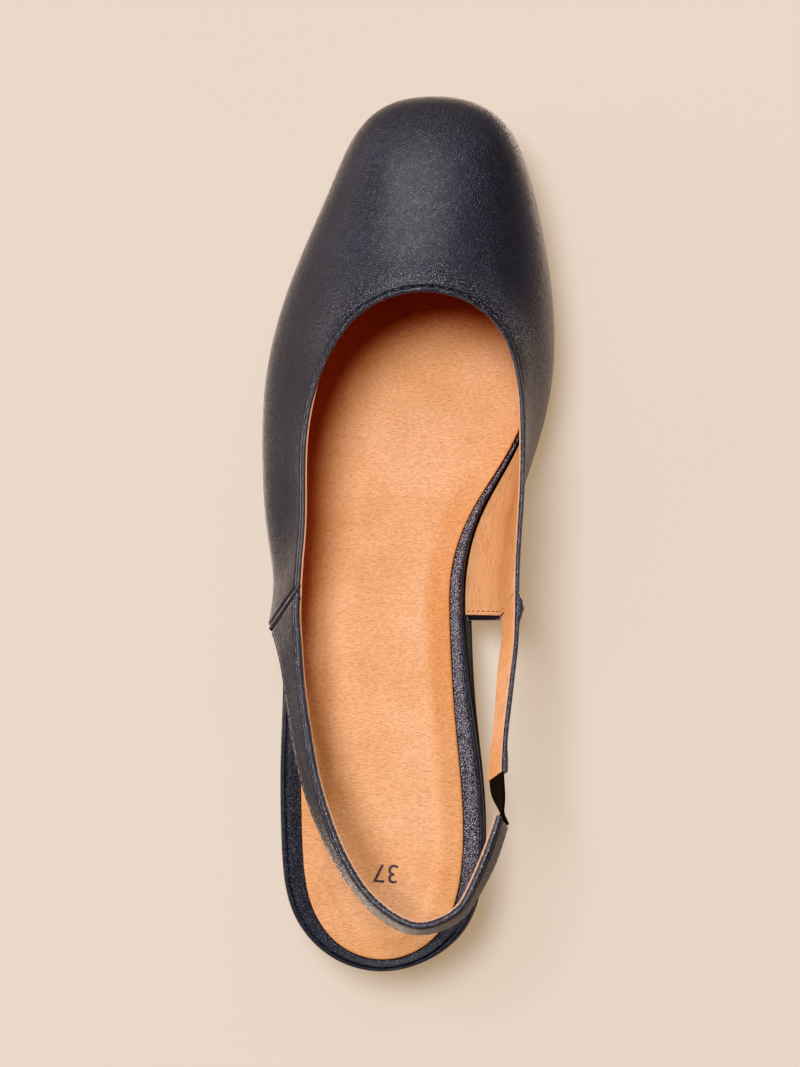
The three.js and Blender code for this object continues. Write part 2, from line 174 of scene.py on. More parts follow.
# Height of the sole's underside: the heel rise, a smooth fall through the waist, the flat
# under the ball, and a spring that grows as the square of the way to the toe.
def underside(along):
    fall = smoothStep(along, shoe["seatLength"], shoe["flatFrom"])
    spring = np.maximum(0, (along - shoe["flatTo"]) / (shoe["length"] - shoe["flatTo"]))
    return shoe["heelRise"] * (1 - fall) + shoe["toeSpring"] * spring ** 2


# Hermite cubic between two points, each with its own way, as long as the chord times round.
def hermite(start, startWay, end, endWay, s, roundness):
    size = np.linalg.norm(end - start, axis=-1, keepdims=True) * roundness
    ofStart, ofStartWay, ofEnd, ofEndWay = hermiteWeights(s)
    return ofStart * start + ofStartWay * size * startWay + ofEnd * end + ofEndWay * size * endWay


# Outer face of the upper at a place along the edge and a share of the way from the feather
# to the topline: one cubic up to the fullest place, a second one on to the topline.
def wallPoint(place, share):
    place, share = np.broadcast_arrays(np.asarray(place, float), np.asarray(share, float))
    edge, row, slope, outward = edgeAt(place), wallAt(place), wallAt(place, True), outwardAt(place)
    bulge, rise, lean, pitch, roundness = (row[..., k:k + 1] for k in (0, 1, 2, 6, 7))
    lean, pitch = np.radians(lean), np.radians(pitch)
    flat = raised(edge[..., :2])
    up = np.array([0.0, 0.0, 1.0])
    feather = flat + outward * (shoe["gap"] + shoe["wall"])
    base = (underside(feather[..., 1]) + shoe["outsole"] + shoe["gap"])[..., None]
    feather = feather + up * base
    full = flat + outward * bulge + up * (base + rise * (row[..., 5:6] - base))
    inward = rightOf(-slope[..., 3], -slope[..., 4])
    fullWay = -outward * np.sin(lean) + up * np.cos(lean)
    topWay = inward * np.cos(pitch) + up * np.sin(pitch)
    share = share[..., None]
    outwards, upwards = shoe["featherWay"]
    featherWay = outward * outwards + up * upwards
    lower = hermite(feather, featherWay, full, fullWay, share / rise, 1.0)
    upper = hermite(full, fullWay, row[..., 3:6], topWay, (share - rise) / (1 - rise), roundness)
    return np.where(share < rise, lower, upper)


crowding = np.array([0, 0.02, 0.08, 0.18, 0.32, 0.5, 0.72])  # shares of a short run at a border


# Steps from 0 to end, evenly spaced between two short runs that crowd towards the ends.
def crowdedSteps(end, count, run):
    crowd = run * crowding
    return np.concatenate([crowd, np.linspace(run, end - run, count), end - crowd[::-1]])


# Distance of every grid point from the two ends of its line along one axis.
def endDistance(points, axis):
    steps = np.linalg.norm(np.diff(points, axis=axis), axis=-1)
    zero = np.zeros_like(np.take(steps, [0], axis))
    walked = np.concatenate([zero, np.cumsum(steps, axis)], axis)
    return walked, np.take(walked, [-1], axis) - walked


def gridNormals(points):
    return unit(np.cross(np.gradient(points, axis=0), np.gradient(points, axis=1)))


# A face grid moved outwards along its normals, by one number or by one for each point.
def moved(face, by):
    return face + gridNormals(face) * np.broadcast_to(by, face.shape[:2])[..., None]


# Quads of a grid of points.
def gridFaces(index):
    quads = np.stack([index[:-1, :-1], index[1:, :-1], index[1:, 1:], index[:-1, 1:]], -1)
    return quads.reshape(-1, 4)


# Quads between closed rings of points.
def ringFaces(index):
    following = np.roll(index, -1, 1)
    return np.stack([index[:-1], following[:-1], following[1:], index[1:]], -1).reshape(-1, 4)


# Leather sheet behind a face grid, its thickness one number or one for each point. Near its
# border both faces close in on the middle along a half circle, so the sheet's edge is round.
# The attribute edge is 1 at the border and fades within the sheet's thickness.
def softSheet(face, thickness):
    normals = gridNormals(face)
    thickness = np.broadcast_to(thickness, face.shape[:2])
    half = thickness / 2
    border = np.minimum(np.minimum(*endDistance(face, 0)), np.minimum(*endDistance(face, 1)))
    closeness = 1 - np.clip(border / half, 0, 1)
    swell = (half * np.sqrt(np.clip(1 - closeness ** 2, 0, 1)))[..., None]
    middle = face - normals * half[..., None]
    rows, columns = face.shape[:2]
    index = np.arange(rows * columns).reshape(rows, columns)
    backIndex = index + rows * columns
    for line in (np.s_[0, :], np.s_[-1, :], np.s_[:, 0], np.s_[:, -1]):
        backIndex[line] = index[line]
    points = np.concatenate([middle + normals * swell, middle - normals * swell]).reshape(-1, 3)
    front, back = gridFaces(index), gridFaces(backIndex)[:, [0, 3, 2, 1]]
    lengthways, across = endDistance(face, 0)[0], endDistance(face, 1)[0]
    uv = np.tile(np.stack([lengthways, across], -1).reshape(-1, 2), (2, 1))
    edge = np.tile(np.exp(-border / thickness).reshape(-1), 2)
    return {"points": points, "faces": np.concatenate([front, back]), "uv": uv, "edge": edge}


# Closed body between stacked loops of points, from the lower lid to the upper one. A lid is a
# grid whose lines join point k of its loop to point -k, with heights from the sole's curve.
def stackedBody(loops, lowLevel, highLevel, across=24):
    loops = np.asarray(loops)
    rings, size = loops.shape[:2]
    points = [loops.reshape(-1, 3)]
    index = np.arange(rings * size).reshape(rings, size)
    faces = [ringFaces(index)]
    total = rings * size
    half = size // 2
    share = np.linspace(0, 1, across + 1)[1:-1][None, :, None]
    for ring, level, turned in ((0, lowLevel, True), (rings - 1, highLevel, False)):
        inner, outer = loops[ring, 1:half], loops[ring, :half:-1]
        between = inner[:, None] * (1 - share) + outer[:, None] * share
        between[..., 2] = level(between) if callable(level) else underside(between[..., 1]) + level
        middle = np.arange(total, total + (half - 1) * (across - 1)).reshape(half - 1, across - 1)
        total += middle.size
        points.append(between.reshape(-1, 3))
        lid = np.concatenate([index[ring, 1:half, None], middle, index[ring, :half:-1, None]], 1)
        tips = [np.full((1, across + 1), index[ring, k]) for k in (0, half)]
        quads = gridFaces(np.concatenate([tips[0], lid, tips[1]]))
        faces.append(quads[:, ::-1] if turned else quads)
    return {"points": np.concatenate(points), "faces": np.concatenate(faces)}


# Places round the whole edge, up the inner side and down the outer one, a little closer
# together at the heel and the toe.
def solePlaces(sideSteps, crowd=0.6):
    s = np.arange(sideSteps) / sideSteps
    s = s - crowd * np.sin(2 * np.pi * s) / (2 * np.pi)
    return np.concatenate([heelPlace + (toePlace - heelPlace) * s,
                           toePlace + (heelPlace + edgePeriod - toePlace) * s])


# Loop set in from the edge by inset and raised by level over the sole's underside.
def soleLoop(places, inset, level):
    loop = raised(edgeAt(places)[:, :2])
    loop = loop - outwardAt(places) * np.broadcast_to(inset, len(loop))[:, None]
    loop[:, 2] = underside(loop[:, 1]) + level
    return loop


# The solids' box stands centred over the origin, so the shoe is shifted as its upper is.
upperFace = wallPoint(np.linspace(0, wallEnd, 400)[:, None], np.linspace(0, 1, 80))
upperLow, upperHigh = (np.array(corner) * 1000 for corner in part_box("upper"))
shoeShift = (upperLow + upperHigh - upperFace.min((0, 1)) - upperFace.max((0, 1))) / 2
shoeShift[2] = 0
print("shift to the frame, mm:", shoeShift.round(3))


def toFrame(points):
    return (np.asarray(points) + shoeShift) / 1000


materials = {}
creaseAngle = math.radians(50)  # edges that turn more than this stay sharp


def newObject(name, data):
    thing = bpy.data.objects.new(name, data)
    scene.collection.objects.link(thing)
    return thing


# One piece of the shoe from a body's points, quads and end faces, on the frame's root.
def addPiece(name, body, material, replaces=()):
    faces = [list(dict.fromkeys(face)) for face in body["faces"].tolist()]
    faces += list(body.get("ends", []))
    mesh = bpy.data.meshes.new(name)
    mesh.from_pydata(toFrame(body["points"]).tolist(), [], faces)
    if "uv" in body:
        corners = np.empty(len(mesh.loops), np.int32)
        mesh.loops.foreach_get("vertex_index", corners)
        layer = mesh.uv_layers.new(name="surface")
        layer.uv.foreach_set("vector", (body["uv"][corners] / 1000).astype(np.float32).ravel())
    for key in ("edge", "tone"):
        if key in body:
            attribute = mesh.attributes.new(key, "FLOAT", "POINT")
            attribute.data.foreach_set("value", body[key].astype(np.float32))
    mesh.polygons.foreach_set("use_smooth", np.ones(len(mesh.polygons), bool))
    mesh.materials.append(materials[material])
    mesh.set_sharp_from_angle(angle=creaseAngle)
    mesh.validate()
    piece = newObject(name, mesh)
    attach(piece, "root")
    if replaces:
        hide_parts(*replaces)
    print("piece", name, len(mesh.polygons), "faces")


# Inputs of a node, each a number, a colour or a socket.
def setInputs(tree, node, inputs):
    for key, value in inputs.items():
        if isinstance(value, bpy.types.NodeSocket):
            tree.links.new(value, node.inputs[key])
        else:
            node.inputs[key].default_value = value


def addNode(tree, kind, settings=None, inputs=None):
    node = tree.nodes.new("ShaderNode" + kind)
    for key, value in (settings or {}).items():
        setattr(node, key, value)
    setInputs(tree, node, inputs or {})
    return node


def newGroup(name, inputs, outputs):
    group = bpy.data.node_groups.new(name, "ShaderNodeTree")
    kinds = {"vector": "NodeSocketVector", "value": "NodeSocketFloat"}
    for label, kind, value in inputs:
        socket = group.interface.new_socket(label, in_out="INPUT", socket_type=kinds[kind])
        if value is not None:
            socket.default_value = value
    for label, kind in outputs:
        group.interface.new_socket(label, in_out="OUTPUT", socket_type=kinds[kind])
    given = group.nodes.new("NodeGroupInput").outputs
    return group, given, group.nodes.new("NodeGroupOutput")


def useGroup(tree, group, inputs):
    return addNode(tree, "Group", {"node_tree": group}, inputs).outputs


def mathNode(tree, operation, *values, clamp=False):
    settings = {"operation": operation, "use_clamp": clamp}
    return addNode(tree, "Math", settings, dict(enumerate(values))).outputs[0]


def mapRange(tree, value, fromLow, fromHigh, toLow=0.0, toHigh=1.0):
    limits = {"From Min": fromLow, "From Max": fromHigh, "To Min": toLow, "To Max": toHigh}
    return addNode(tree, "MapRange", None, {"Value": value} | limits).outputs["Result"]


def mixColour(tree, factor, first, second):
    return addNode(tree, "Mix", {"data_type": "RGBA"}, {0: factor, 6: first, 7: second}).outputs[2]


def noise(tree, place, scale, detail):
    inputs = {"Vector": place, "Scale": scale, "Detail": detail}
    return addNode(tree, "TexNoise", None, inputs).outputs


# Base colour mixed from two by a mask, with its roughness and shine.
def paint(tree, shader, mask, first, second, rough, shine=0.5):
    colour = mixColour(tree, mask, first, second)
    setInputs(tree, shader, {"Base Color": colour, "Roughness": rough, "Specular IOR Level": shine})


# Pebbled leather: small rounded cells parted by creases, over fine fibre noise.
# Height is the relief, Mottle a soft cloud over some centimetres.
def leatherGrainGroup():
    group, given, result = newGroup(
        "leatherGrain",
        [("Vector", "vector", None), ("Cells", "value", 1500.0), ("Fibre", "value", 0.35)],
        [("Height", "value"), ("Mottle", "value")])
    warp = noise(group, given["Vector"], 400.0, 2.0)["Color"]
    shifted = addNode(group, "VectorMath", {"operation": "MULTIPLY_ADD"}, {
        0: warp, 1: (0.0006,) * 3, 2: given["Vector"]})
    cells = addNode(group, "TexVoronoi", {"feature": "DISTANCE_TO_EDGE"}, {
        "Vector": shifted.outputs[0], "Scale": given["Cells"]})
    pebble = mapRange(group, cells.outputs["Distance"], 0.0, 0.28)
    fibre = noise(group, given["Vector"], 2600.0, 3.0)["Fac"]
    mottle = noise(group, given["Vector"], 45.0, 3.0)["Fac"]
    height = mathNode(group, "MULTIPLY_ADD", fibre, given["Fibre"], pebble)
    setInputs(group, result, {"Height": height, "Mottle": mottle})
    return group


# Open-grained tan leather: sparse dark pores, and fine creases drawn out by the stretch.
def poresGroup():
    group, given, result = newGroup(
        "openPores",
        [("Vector", "vector", None), ("Pores", "value", 650.0),
         ("Stretch", "vector", (800.0, 2500.0, 2500.0))],
        [("Pore", "value"), ("Crease", "value"), ("Height", "value")])
    spots = addNode(group, "TexVoronoi", None, {"Vector": given["Vector"], "Scale": given["Pores"]})
    chance = addNode(group, "SeparateColor", None, {"Color": spots.outputs["Color"]})
    size = mapRange(group, chance.outputs[0], 0.60, 1.0, 0.0, 0.16)
    pore = mathNode(group, "SUBTRACT", size, spots.outputs["Distance"])
    pore = mapRange(group, pore, 0.0, 0.06)
    drawn = addNode(group, "VectorMath", {"operation": "MULTIPLY"}, {0: given["Vector"], 1: given["Stretch"]})
    lines = addNode(group, "TexNoise", None, {
        "Vector": drawn.outputs[0], "Scale": 1.0, "Detail": 2.5, "Distortion": 0.5})
    crease = mapRange(group, lines.outputs["Fac"], 0.46, 0.74)
    fine = noise(group, given["Vector"], 1500.0, 3.0)["Fac"]
    dents = mathNode(group, "MAXIMUM", pore, crease)
    height = mathNode(group, "SUBTRACT", mathNode(group, "MULTIPLY", fine, 0.6), dents)
    setInputs(group, result, {"Pore": pore, "Crease": crease, "Height": height})
    return group


leatherGrain = leatherGrainGroup()
openPores = poresGroup()


def bumpInto(tree, shader, height, strength, distance):
    bump = addNode(tree, "Bump", None, {"Height": height, "Strength": strength, "Distance": distance})
    tree.links.new(bump.outputs["Normal"], shader.inputs["Normal"])


# A material's node tree, its shader, and the place that its textures follow: the piece's own
# coordinates, or its UV map of that name.
def newMaterial(name, uvMap=None):
    material = bpy.data.materials.new(name)
    material.use_nodes = True
    materials[name] = material
    tree = material.node_tree
    if uvMap:
        place = addNode(tree, "UVMap", {"uv_map": uvMap}).outputs["UV"]
    else:
        place = addNode(tree, "TexCoord").outputs["Object"]
    return tree, tree.nodes["Principled BSDF"], place


def pointAttribute(tree, name):
    return addNode(tree, "Attribute", {"attribute_name": name}).outputs["Fac"]


# Grain of a leather, and its colour between two that mottle it.
def mottled(tree, place, look):
    grain = useGroup(tree, leatherGrain, {"Vector": place, "Cells": look["cells"], "Fibre": look["fibre"]})
    tone = mapRange(tree, grain["Mottle"], *look["mottle"])
    return grain, mixColour(tree, tone, look["dark"], look["light"])


# Navy leather: nearly black, bluer where it is mottled. Its edges are painted paler in a thin line, partly
# wear and partly a painted highlight. Where the attribute tone is high its grain stands open, and fine
# speckles on the grain's tops are painted pale as a painted sheen. Folded and cut edges are polished, so they
# shine in a thin line.
def navyLeather(name, look):
    tree, shader, place = newMaterial(name)
    grain, colour = mottled(tree, place, look)
    edge, grainAndPaintedSheen = pointAttribute(tree, "edge"), pointAttribute(tree, "tone")
    # pale speckles on the open grain's tops: a painted sheen
    paintedSheenSpeckle = mapRange(tree, grain["Height"], look["paintedSheenSpeckle"], look["paintedSheenSpeckle"] + look["paintedSheenSpread"])
    # a paler thin line along the edges: partly wear, partly a painted highlight
    wornAndPaintedSheen = mapRange(tree, edge, 0.80, 1.0, 0.0, look["wear"])
    paintedSheenSpeckle = mathNode(tree, "MULTIPLY", grainAndPaintedSheen, paintedSheenSpeckle)
    wornAndPaintedSheen = mathNode(tree, "MULTIPLY_ADD", paintedSheenSpeckle, look["paintedSheenStrength"], wornAndPaintedSheen, clamp=True)
    colour = mixColour(tree, wornAndPaintedSheen, colour, look["wornAndPaintedSheen"])
    rough = mapRange(tree, grain["Height"], 0.3, 1.3, look["rough"] + 0.08, look["rough"] - 0.04)
    polished = mapRange(tree, edge, 0.30, 0.55, 0.0, look["polish"])
    polished = mathNode(tree, "MULTIPLY_ADD", grainAndPaintedSheen, look["shine"], polished)
    setInputs(tree, shader, {
        "Base Color": colour, "Roughness": mathNode(tree, "SUBTRACT", rough, polished),
        "Specular IOR Level": look["gloss"], "IOR": look["ior"],
        "Coat Weight": look["coat"], "Coat Roughness": look["coatRough"],
        "Sheen Weight": look["sheen"], "Sheen Roughness": 0.25, "Sheen Tint": (1.0, 0.82, 0.70, 1)})
    deepened = mathNode(tree, "MULTIPLY_ADD", grainAndPaintedSheen, look["deepen"], 1.0)
    relief = mathNode(tree, "MULTIPLY", grain["Height"], deepened)
    bumpInto(tree, shader, relief, look["bump"], look["grain"])


# Tan leather: warm orange tan with darker pores and creases; the attribute tone darkens it.
def tanLeather(name, look):
    tree, shader, place = newMaterial(name)
    pores = useGroup(tree, openPores, {"Vector": place, "Pores": look["pores"], "Stretch": look["stretch"]})
    grain, colour = mottled(tree, place, look)
    for mask, strength, darker in ((pointAttribute(tree, "tone"), look["band"], look["deep"]),
                                   (pores["Crease"], look["crease"], look["pore"]),
                                   (pores["Pore"], 0.6, look["pore"])):
        colour = mixColour(tree, mathNode(tree, "MULTIPLY", mask, strength), colour, darker)
    raw = mapRange(tree, pointAttribute(tree, "edge"), 0.45, 0.75, 0.0, look["rawEdge"])
    colour = mixColour(tree, raw, colour, look["raw"])
    setInputs(tree, shader, {"Base Color": colour, "Roughness": look["rough"], "Specular IOR Level": 0.3})
    height = mathNode(tree, "MULTIPLY_ADD", grain["Height"], 0.35, pores["Height"])
    bumpInto(tree, shader, height, look["bump"], 0.00015)


# The pale colour below paints the edges' paler line, partly wear and partly a painted highlight, and the pale
# speckles over open grain, a painted sheen.
navyLook = {"dark": (0.008, 0.009, 0.019, 1), "light": (0.013, 0.015, 0.031, 1),
            "wornAndPaintedSheen": (0.17, 0.16, 0.19, 1), "mottle": (0.35, 0.65), "cells": 1700.0, "fibre": 0.9,
            "bump": 0.9, "grain": 0.0001, "rough": 0.46, "gloss": 0.5, "ior": 1.5,
            "coat": 0.2, "coatRough": 0.4, "sheen": 1.0, "wear": 0.4, "polish": 0.22,
            "paintedSheenSpeckle": 0.98, "paintedSheenSpread": 0.5, "paintedSheenStrength": 0.9, "shine": 0.14, "deepen": 1.2}
# On the rim, the pale speckles over the inner margin's open grain are a painted sheen, and its edges get no
# paler line.
rimChanges = {"rough": 0.40, "fibre": 1.8, "cells": 1900.0, "coat": 0.15, "sheen": 0.15, "wear": 0.0,
              "wornAndPaintedSheen": (0.46, 0.41, 0.46, 1), "paintedSheenSpeckle": 1.15, "paintedSheenSpread": 0.80, "paintedSheenStrength": 1.0, "shine": 0.0}
tanLook = {"dark": (0.72, 0.33, 0.145, 1), "light": (0.82, 0.41, 0.212, 1), "deep": (0.66, 0.255, 0.08, 1),
           "pore": (0.36, 0.12, 0.04, 1), "raw": (0.62, 0.36, 0.25, 1),
           "mottle": (0.35, 0.65), "cells": 1300.0, "fibre": 0.4, "pores": 650.0,
           "stretch": (800.0, 2500.0, 2500.0), "crease": 0.36, "band": 0.9, "rawEdge": 0.0,
           "rough": 0.55, "bump": 0.7}
soleLook = {"dark": (0.018, 0.014, 0.013, 1), "light": (0.034, 0.027, 0.024, 1),
            "mottle": (0.3, 0.7), "cells": 900.0, "fibre": 1.2}
liningChanges = {"stretch": (1500.0, 240.0, 900.0), "crease": 0.3, "band": 0.0, "rawEdge": 0.7}
navyLeather("navyUpperLeather", navyLook)
navyLeather("navyRimLeather", navyLook | rimChanges)
navyLeather("navyStrapLeather", navyLook | {"wear": 0.3})
navyLeather("heelLeather", navyLook | {"cells": 1400.0})
tanLeather("tanSockLeather", tanLook)
tanLeather("tanLiningLeather", tanLook | liningChanges)


# Dyed sole leather: dark brown-black, with a fine nap and shallow scuffs.
def soleLeather():
    tree, shader, place = newMaterial("dyedSoleLeather")
    grain, colour = mottled(tree, place, soleLook)
    setInputs(tree, shader, {"Base Color": colour, "Roughness": 0.6})
    bumpInto(tree, shader, grain["Height"], 0.5, 0.0001)


# Rubber top piece: matt, with small raised pips in a square pattern.
def topPieceRubber():
    tree, shader, place = newMaterial("topPieceRubber")
    pips = addNode(tree, "TexVoronoi", None, {"Vector": place, "Scale": 420.0, "Randomness": 0.0})
    height = mapRange(tree, pips.outputs["Distance"], 0.2, 0.4, 1.0, 0.0)
    dust = mapRange(tree, noise(tree, place, 120.0, 5.0)["Fac"], 0.4, 0.7)
    paint(tree, shader, dust, (0.016, 0.015, 0.015, 1), (0.035, 0.032, 0.03, 1), 0.75)
    bumpInto(tree, shader, height, 0.6, 0.0003)


# Woven elastic: ribs along the band crossed by fine yarns, from the piece's own UV map.
def wovenElastic():
    tree, shader, surface = newMaterial("wovenElastic", "surface")
    ribs, yarns = [addNode(tree, "TexWave", {"bands_direction": way, "wave_profile": "SIN"},
                           {"Vector": surface, "Scale": scale}).outputs["Fac"]
                   for way, scale in (("Y", 330.0), ("X", 520.0))]
    height = mathNode(tree, "MULTIPLY", ribs, yarns)
    paint(tree, shader, height, (0.006, 0.004, 0.003, 1), (0.022, 0.014, 0.010, 1), 0.85, 0.2)
    bumpInto(tree, shader, height, 0.8, 0.0003)


# Twisted thread: slanted strands along each stitch.
def threadMaterial(name, colour, strand):
    tree, shader, place = newMaterial(name)
    strands = addNode(tree, "TexWave", {"bands_direction": "DIAGONAL"}, {"Vector": place, "Scale": 900.0})
    twist = strands.outputs["Fac"]
    paint(tree, shader, twist, colour, strand, 0.75, 0.2)
    bumpInto(tree, shader, twist, 0.5, 0.0001)


# Ink of the size number: dull navy that the leather's grain breaks up a little.
def printedInk():
    tree, shader, place = newMaterial("printedInk")
    wear = mapRange(tree, noise(tree, place, 1400.0, 3.0)["Fac"], 0.5, 0.75, 0.0, 0.6)
    paint(tree, shader, wear, (0.035, 0.03, 0.045, 1), (0.30, 0.15, 0.09, 1), 0.6)


# Pale warm floor with the faintest cloud in its colour. It also glows warm on its own, a painted light that
# keeps the shadows on it light and warm.
def paleFloor():
    tree, shader, place = newMaterial("paleFloor")
    cloud = noise(tree, place, 3.0, 2.0)["Fac"]
    paint(tree, shader, cloud, (0.334, 0.326, 0.324, 1), (0.350, 0.342, 0.340, 1), 0.8, 0.2)
    # warm glow of the floor: painted light that lightens and warms its shadows
    setInputs(tree, shader, {"Emission Color": (0.395, 0.275, 0.172, 1), "Emission Strength": 1.0})


soleLeather()
topPieceRubber()
wovenElastic()
threadMaterial("navyThread", (0.002, 0.002, 0.003, 1), (0.008, 0.008, 0.012, 1))
threadMaterial("tanThread", (0.035, 0.010, 0.004, 1), (0.10, 0.035, 0.015, 1))
printedInk()
paleFloor()
print("materials:", len(materials))

upperLook = {  # millimetres
    "leather": 1.4, "lining": 0.5, "lengthSteps": 520, "heightSteps": 64, "lowRun": 0.02,
    "topSteps": [3.3, 2.8, 2.45, 2.2, 2.0, 1.85, 1.7, 1.55, 1.4, 1.2, 1.0, 0.8, 0.6, 0.42, 0.27, 0.15,
                 0.06, 0.015, 0.0],
    "stitchIn": 1.65, "stitchDent": 0.34, "dentWidth": 0.28, "bandStep": 0.35,
    "sink": 0.16, "throatSink": 0.42, "sinkFrom": 6.5, "throatFrom": (160.0, 182.0),
    "ripple": 0.10, "rippleReach": 60.0, "openTo": 15.0, "openFrom": (166.0, 188.0),
    "liningDrop": 0.25, "throatDrop": 1.2, "liningShort": 1.5, "liningEnd": 0.7, "liningFade": 6.0,
}


# The upper's face on a fine grid, and how far the grain stands open at its points: over the
# toe, most near the throat. The same share also sets where pale speckles are painted on as a painted sheen.
# The leather rounds down to the row of stitches, as the square of the way to it, then steps up to the folded
# band along the topline. A slow ripple keeps the wings from being perfectly smooth.
def upperGrid(look):
    along = crowdedSteps(wallEnd, look["lengthSteps"], look["leather"] / 2)
    top = np.array(look["topSteps"])
    tall = endDistance(wallPoint(along[:, None], np.linspace(0, 1, 60)), 1)[0][:, -1:]
    lowRun, stitchIn = look["lowRun"], look["stitchIn"]
    low = np.append(lowRun * crowding, np.linspace(lowRun, 1, look["heightSteps"]))
    share = np.concatenate([low[:-1] * (1 - top[0] / tall), 1 - top / tall], 1)
    face = wallPoint(along[:, None], share)
    fromTop = endDistance(face, 1)[1]
    forward = wallAt(along)[:, 4:5]
    throat, front = smoothStep(forward, *look["throatFrom"]), smoothStep(forward, *look["openFrom"])
    pulled = np.clip((look["sinkFrom"] - fromTop) / (look["sinkFrom"] - stitchIn), 0, 1) ** 2
    step = 1 - look["bandStep"] * smoothStep(fromTop, stitchIn + 0.2, stitchIn - 0.3)
    relief = -(look["sink"] + look["throatSink"] * throat) * pulled * step
    relief = relief - look["stitchDent"] * bell(fromTop - stitchIn, look["dentWidth"])
    walked = np.broadcast_to(along[:, None], fromTop.shape)
    reach = look["rippleReach"]
    wings = np.maximum(smoothStep(walked, reach, 0), smoothStep(walked, wallEnd - reach, wallEnd))
    ripple = np.sin(walked / 5.1 + 1.3 * np.sin(walked / 13) + fromTop / 9)
    relief = relief + look["ripple"] * wings * ripple * smoothStep(fromTop, 1.5, 8)
    grainAndPaintedSheen = front * smoothStep(fromTop, look["openTo"], 0) * smoothStep(fromTop, stitchIn, stitchIn + 0.4)
    return moved(face, relief), grainAndPaintedSheen


# the share of open grain, which also places the painted sheen of pale speckles
upperOuter, grainAndPaintedSheenShare = upperGrid(upperLook)
upperBody = softSheet(upperOuter, upperLook["leather"]) | {"tone": np.tile(grainAndPaintedSheenShare.ravel(), 2)}
addPiece("upper_leather", upperBody, "navyUpperLeather", ["upper"])


# The lining stops short of the folded topline, further down round the throat, and of the
# inner wing's back edge below the strap.
def liningGrid(look):
    along = crowdedSteps(wallEnd, look["lengthSteps"] // 2, 0.4)
    share = crowdedSteps(1.0, look["heightSteps"] // 2, 0.02)
    tall = endDistance(wallPoint(along[:, None], share), 1)[0][:, -1]
    drop = look["liningDrop"] + look["throatDrop"] * smoothStep(wallAt(along)[:, 4], *look["throatFrom"])
    short = look["liningShort"] * (1 - smoothStep(share, 0.60, 0.74))
    fromBack, fromFront = np.exp(-along / look["liningFade"]), np.exp((along - wallEnd) / look["liningFade"])
    shift = short * fromBack[:, None] - look["liningEnd"] * fromFront[:, None]
    face = wallPoint(along[:, None] + shift, share * (1 - drop / tall)[:, None])
    return moved(face, -look["leather"] - 0.02)


liningFace = liningGrid(upperLook)
addPiece("upper_lining", softSheet(liningFace, upperLook["lining"]), "tanLiningLeather")


# Straps: across, along, up of the lower edge, then of the top edge.
rearStrapTable = [
    (-0.456, 0.386, 0.592, -0.356, 0.434, 0.89), (-0.43, 0.367, 0.69, -0.352, 0.402, 0.93),
    (-0.407, 0.347, 0.786, -0.34, 0.375, 0.965), (-0.384, 0.317, 0.849, -0.328, 0.344, 1.0),
    (-0.363, 0.286, 0.895, -0.311, 0.312, 1.047), (-0.335, 0.249, 0.953, -0.287, 0.276, 1.088),
    (-0.299, 0.211, 1.012, -0.254, 0.232, 1.147), (-0.255, 0.177, 1.058, -0.211, 0.191, 1.209),
    (-0.201, 0.145, 1.105, -0.157, 0.151, 1.267), (-0.141, 0.116, 1.151, -0.097, 0.119, 1.326),
    (-0.073, 0.09, 1.186, -0.041, 0.098, 1.363), (0.007, 0.069, 1.209, 0.041, 0.079, 1.4),
    (0.117, 0.057, 1.221, 0.137, 0.07, 1.419), (0.206, 0.063, 1.209, 0.207, 0.077, 1.4),
    (0.28, 0.079, 1.186, 0.265, 0.091, 1.367), (0.332, 0.108, 1.163, 0.301, 0.113, 1.337),
    (0.371, 0.136, 1.14, 0.331, 0.14, 1.314), (0.393, 0.159, 1.116, 0.358, 0.167, 1.291),
    (0.41, 0.182, 1.093, 0.383, 0.196, 1.267),
]
innerStrapTable = [
    (0.341, 0.409, 0.653, 0.383, 0.44, 0.914), (0.346, 0.387, 0.758, 0.387, 0.413, 0.942),
    (0.341, 0.363, 0.826, 0.389, 0.387, 0.972), (0.338, 0.329, 0.872, 0.384, 0.357, 1.012),
    (0.337, 0.296, 0.919, 0.377, 0.32, 1.058), (0.331, 0.267, 0.953, 0.371, 0.282, 1.112),
    (0.326, 0.229, 0.988, 0.372, 0.243, 1.167),
]
elasticTable = [
    (0.333, 0.227, 1.0, 0.375, 0.2405, 1.156), (0.341, 0.215, 1.037, 0.38, 0.227, 1.184),
    (0.363, 0.2025, 1.079, 0.382, 0.2125, 1.214), (0.394, 0.187, 1.119, 0.375, 0.197, 1.242),
]
strapLook = {  # millimetres
    "leather": 1.8, "innerLeather": 1.5, "lining": 0.5, "lengthSteps": 300, "heightSteps": 40,
    "ridge": 0.32, "ridgeWide": 2.1, "ridgeFrom": (0.3, 0.9), "seamGroove": 0.35,
    "band": 1.6, "bandRoll": 0.22, "bandGroove": 0.3, "grooveWide": 0.32,
    "stitchIn": 0.95, "stitchDent": 0.12, "dentWidth": 0.35,
    "knot": 1.2, "knotIn": 3.6, "knotWide": 3.0, "endFold": 0.6, "foldFrom": (9.0, 3.0),
    "seamLead": 0.4, "liningLead": 3.0, "liningDrop": 0.55,
}


